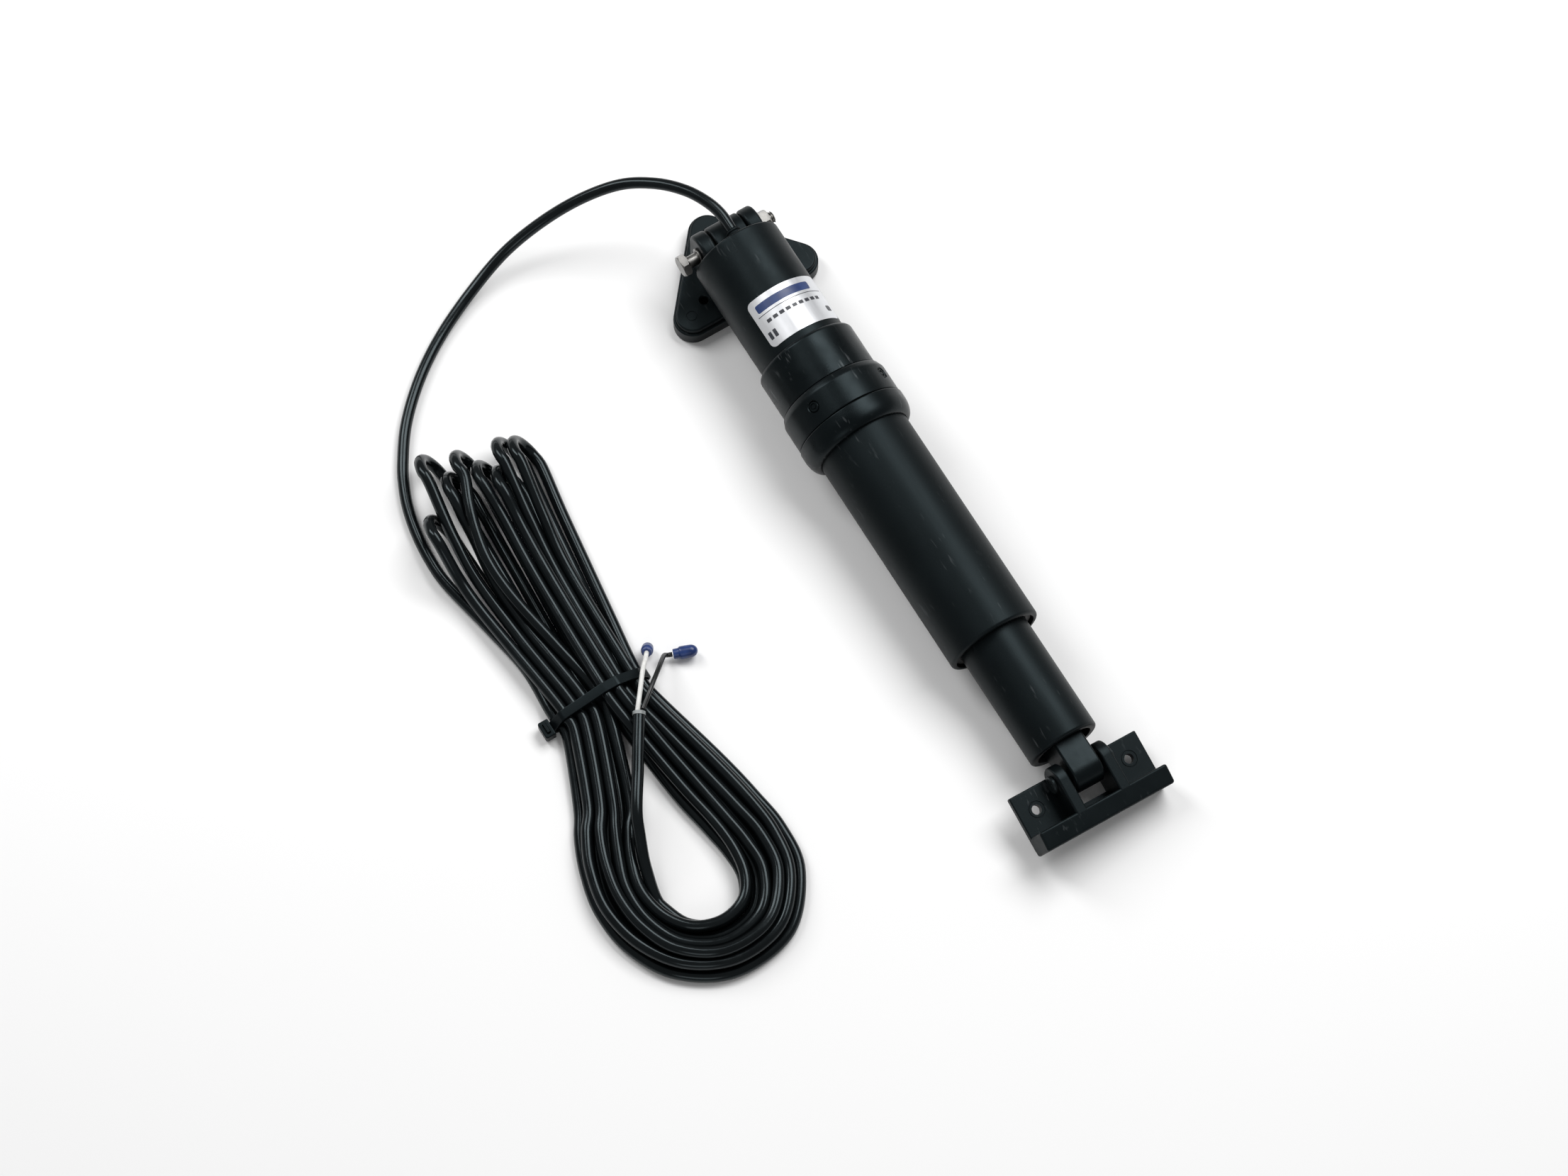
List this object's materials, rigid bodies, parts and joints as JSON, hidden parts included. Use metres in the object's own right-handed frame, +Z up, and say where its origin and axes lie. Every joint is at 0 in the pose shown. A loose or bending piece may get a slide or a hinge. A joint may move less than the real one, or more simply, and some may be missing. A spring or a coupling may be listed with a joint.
{
  "type": "electric linear actuator",
  "caption": "Tubular electric linear actuator with pivoting bracket at each end, round ram, and a supply cable tied in a long hank.",
  "frame": {"origin": "centre of the bounding box in plan, on the table the actuator lies on", "axes": "+Z up; +X along the actuator from the motor end to the ram's eye; +Y across it, away from the cable"},
  "size_m": [0.4007, 0.261, 0.0584],
  "materials": {
    "armature": "stacked laminations",
    "bearing_plate": "machined steel",
    "brush_1": "pressed carbon",
    "brush_2": "pressed carbon",
    "cable_end": "smooth glossy sheath",
    "cable_gland": "satin",
    "cable_hank": "smooth glossy sheath",
    "cable_lead": "smooth glossy sheath",
    "cable_tie": "satin",
    "carrier_1": "machined steel",
    "carrier_2": "machined steel",
    "collar_plug_1": "satin",
    "collar_plug_2": "satin",
    "collar_plug_3": "satin",
    "collar_plug_4": "satin",
    "commutator": "turned copper",
    "core_black": "smooth insulation",
    "core_white": "smooth insulation",
    "crimp_cap_black": "shrunk sleeve",
    "crimp_cap_white": "shrunk sleeve",
    "drive_nut": "turned bronze",
    "gear_housing": "fine moulded satin",
    "joint_collar": "fine moulded satin",
    "lead_screw": "machined steel",
    "lower_bracket": "fine moulded satin",
    "lower_pin": "satin",
    "lower_pin_clip": "satin",
    "magnet_1": "sintered ferrite",
    "magnet_2": "sintered ferrite",
    "motor_can": "machined steel",
    "motor_end_bell": "moulded",
    "motor_housing": "fine moulded satin",
    "motor_mount_plate": "machined steel",
    "motor_shaft": "machined steel",
    "nose_cap": "fine moulded satin",
    "outer_tube": "fine moulded satin",
    "pivot_bolt": "stainless steel",
    "pivot_nut": "stainless steel",
    "pivot_washer": "stainless steel",
    "planet_1_1": "moulded gear plastic",
    "planet_1_2": "moulded gear plastic",
    "planet_1_3": "moulded gear plastic",
    "planet_2_1": "moulded gear plastic",
    "planet_2_2": "moulded gear plastic",
    "planet_2_3": "moulded gear plastic",
    "ram_guide_bush": "bearing plastic",
    "ram_guide_ring": "bearing plastic",
    "ram_tube": "fine moulded satin",
    "ram_wiper_seal": "matt rubber",
    "rating_label": "satin silver film",
    "ring_gear": "machined steel",
    "rod_eye": "fine moulded satin",
    "screw_bearing": "machined steel",
    "sun_gear_1": "machined steel",
    "sun_gear_2": "machined steel",
    "tube_retaining_ring": "turned",
    "upper_bracket": "fine moulded satin"
  },
  "bodies": {
    "housing": {"motor_housing": "motor_housing", "rating_label": "rating_label", "gear_housing": "gear_housing", "joint_collar": "joint_collar", "collar_plug_1": "collar_plug_1", "collar_plug_2": "collar_plug_2", "collar_plug_3": "collar_plug_3", "collar_plug_4": "collar_plug_4", "nose_cap": "nose_cap", "tube_retaining_ring": "tube_retaining_ring", "outer_tube": "outer_tube", "ram_guide_bush": "ram_guide_bush", "ram_wiper_seal": "ram_wiper_seal", "cable_gland": "cable_gland", "motor_can": "motor_can", "motor_end_bell": "motor_end_bell", "motor_mount_plate": "motor_mount_plate", "magnet_1": "magnet_1", "magnet_2": "magnet_2", "brush_1": "brush_1", "brush_2": "brush_2", "ring_gear": "ring_gear", "bearing_plate": "bearing_plate", "screw_bearing": "screw_bearing", "cable_lead": "cable_lead", "cable_hank": "cable_hank", "cable_end": "cable_end", "cable_tie": "cable_tie", "core_white": "core_white", "core_black": "core_black", "crimp_cap_white": "crimp_cap_white", "crimp_cap_black": "crimp_cap_black"},
    "rotor": {"motor_shaft": "motor_shaft", "commutator": "commutator", "armature": "armature", "sun_gear_1": "sun_gear_1"},
    "first_carrier": {"carrier_1": "carrier_1", "sun_gear_2": "sun_gear_2"},
    "screw": {"carrier_2": "carrier_2", "lead_screw": "lead_screw"},
    "ram": {"ram_tube": "ram_tube", "ram_guide_ring": "ram_guide_ring", "drive_nut": "drive_nut", "rod_eye": "rod_eye"},
    "rod_bracket": {"lower_bracket": "lower_bracket", "lower_pin": "lower_pin", "lower_pin_clip": "lower_pin_clip"},
    "hull_bracket": {"upper_bracket": "upper_bracket", "pivot_bolt": "pivot_bolt", "pivot_nut": "pivot_nut", "pivot_washer": "pivot_washer"},
    "planet_1_1_body": {"planet_1_1": "planet_1_1"},
    "planet_1_2_body": {"planet_1_2": "planet_1_2"},
    "planet_1_3_body": {"planet_1_3": "planet_1_3"},
    "planet_2_1_body": {"planet_2_1": "planet_2_1"},
    "planet_2_2_body": {"planet_2_2": "planet_2_2"},
    "planet_2_3_body": {"planet_2_3": "planet_2_3"}
  },
  "joints": [
    {"name": "rotor_spin", "type": "hinge", "parent": "housing", "child": "rotor", "pos_m": [-0.14151, 0, 0.03505], "axis": [0.9987, 0, -0.0502], "range_deg": [-25201, 77401]},
    {"name": "first_carrier_spin", "type": "hinge", "parent": "housing", "child": "first_carrier", "pos_m": [-0.0716, 0, 0.03153], "axis": [0.9987, 0, -0.0502], "range_deg": [-5041, 15481]},
    {"name": "screw_spin", "type": "hinge", "parent": "housing", "child": "screw", "pos_m": [-0.06002, 0, 0.03095], "axis": [0.9987, 0, -0.0502], "range_deg": [-1009, 3097]},
    {"name": "planet_1_1_spin", "type": "hinge", "parent": "first_carrier", "child": "planet_1_1_body", "pos_m": [-0.0755, 0.01125, 0.03173], "axis": [0.9987, 0, -0.0502], "range_deg": [-41281, 13441]},
    {"name": "planet_1_2_spin", "type": "hinge", "parent": "first_carrier", "child": "planet_1_2_body", "pos_m": [-0.07501, -0.00562, 0.04146], "axis": [0.9987, 0, -0.0502], "range_deg": [-41281, 13441]},
    {"name": "planet_1_3_spin", "type": "hinge", "parent": "first_carrier", "child": "planet_1_3_body", "pos_m": [-0.07599, -0.00562, 0.022], "axis": [0.9987, 0, -0.0502], "range_deg": [-41281, 13441]},
    {"name": "planet_2_1_spin", "type": "hinge", "parent": "screw", "child": "planet_2_1_body", "pos_m": [-0.06711, 0.01125, 0.0313], "axis": [0.9987, 0, -0.0502], "range_deg": [-8257, 2689]},
    {"name": "planet_2_2_spin", "type": "hinge", "parent": "screw", "child": "planet_2_2_body", "pos_m": [-0.06662, -0.00562, 0.04103], "axis": [0.9987, 0, -0.0502], "range_deg": [-8257, 2689]},
    {"name": "planet_2_3_spin", "type": "hinge", "parent": "screw", "child": "planet_2_3_body", "pos_m": [-0.0676, -0.00562, 0.02157], "axis": [0.9987, 0, -0.0502], "range_deg": [-8257, 2689]},
    {"name": "ram_slide", "type": "slide", "parent": "housing", "child": "ram", "axis": [0.9987, 0, -0.0502], "range_m": [-0.043, 0.014]},
    {"name": "rod_pivot", "type": "hinge", "parent": "ram", "child": "rod_bracket", "pos_m": [0.15661, 0, 0.02005], "axis": [-0.007, 0.9903, -0.139], "range_deg": [-80, 70]},
    {"name": "hull_pivot", "type": "hinge", "parent": "housing", "child": "hull_bracket", "pos_m": [-0.1525, 0, 0.0356], "axis": [0, 1, 0], "range_deg": [0, 40]}
  ],
  "couplings": [
    {"joint": "rotor_spin", "follows": "ram_slide", "rad_per_m": -31416},
    {"joint": "first_carrier_spin", "follows": "ram_slide", "rad_per_m": -6283.2},
    {"joint": "screw_spin", "follows": "ram_slide", "rad_per_m": -1256.6},
    {"joint": "planet_1_1_spin", "follows": "ram_slide", "rad_per_m": 16755},
    {"joint": "planet_1_2_spin", "follows": "ram_slide", "rad_per_m": 16755},
    {"joint": "planet_1_3_spin", "follows": "ram_slide", "rad_per_m": 16755},
    {"joint": "planet_2_1_spin", "follows": "ram_slide", "rad_per_m": 3351},
    {"joint": "planet_2_2_spin", "follows": "ram_slide", "rad_per_m": 3351},
    {"joint": "planet_2_3_spin", "follows": "ram_slide", "rad_per_m": 3351}
  ]
}
